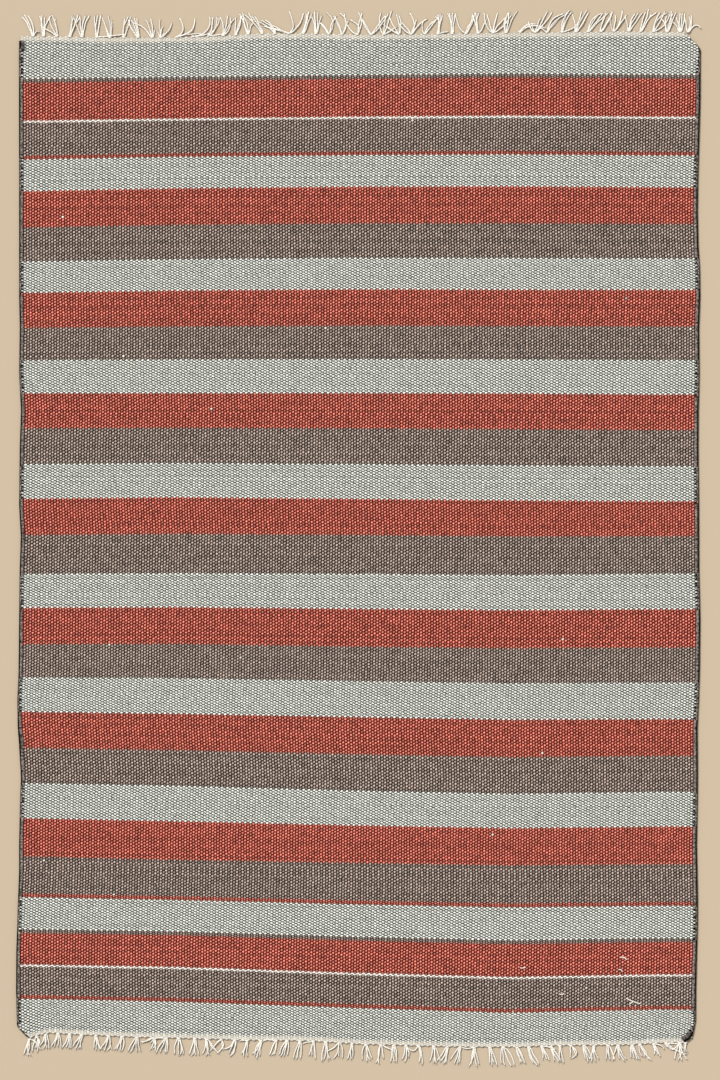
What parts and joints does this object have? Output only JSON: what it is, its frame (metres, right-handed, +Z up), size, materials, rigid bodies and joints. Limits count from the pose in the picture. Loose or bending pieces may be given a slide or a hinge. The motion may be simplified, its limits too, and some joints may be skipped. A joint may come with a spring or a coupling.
{
  "type": "flatweave rug",
  "caption": "Flat striped flatweave rug with dark overcast long edges, a pale woven heading at each end and a knotted, cut fringe, lying flat on a floor.",
  "frame": {"origin": "centre of the rug's outline, fringe included, on the floor under it", "axes": "+Y along the rug to its far end, +X to its right long edge, +Z up from the floor"},
  "size_m": [1.232, 1.8966, 0.006],
  "materials": {
    "woven_ground": "matt weft yarn in grey-green, red and brown stripes",
    "overcast_edge": "matt dark yarn, wrapped over the edge",
    "warp_cotton": "matt undyed cotton cord"
  },
  "bodies": {
    "root": {"rug_body": "woven_ground", "selvedge_left": "overcast_edge", "selvedge_right": "overcast_edge", "fringe_far": "warp_cotton", "fringe_near": "warp_cotton"}
  },
  "joints": []
}
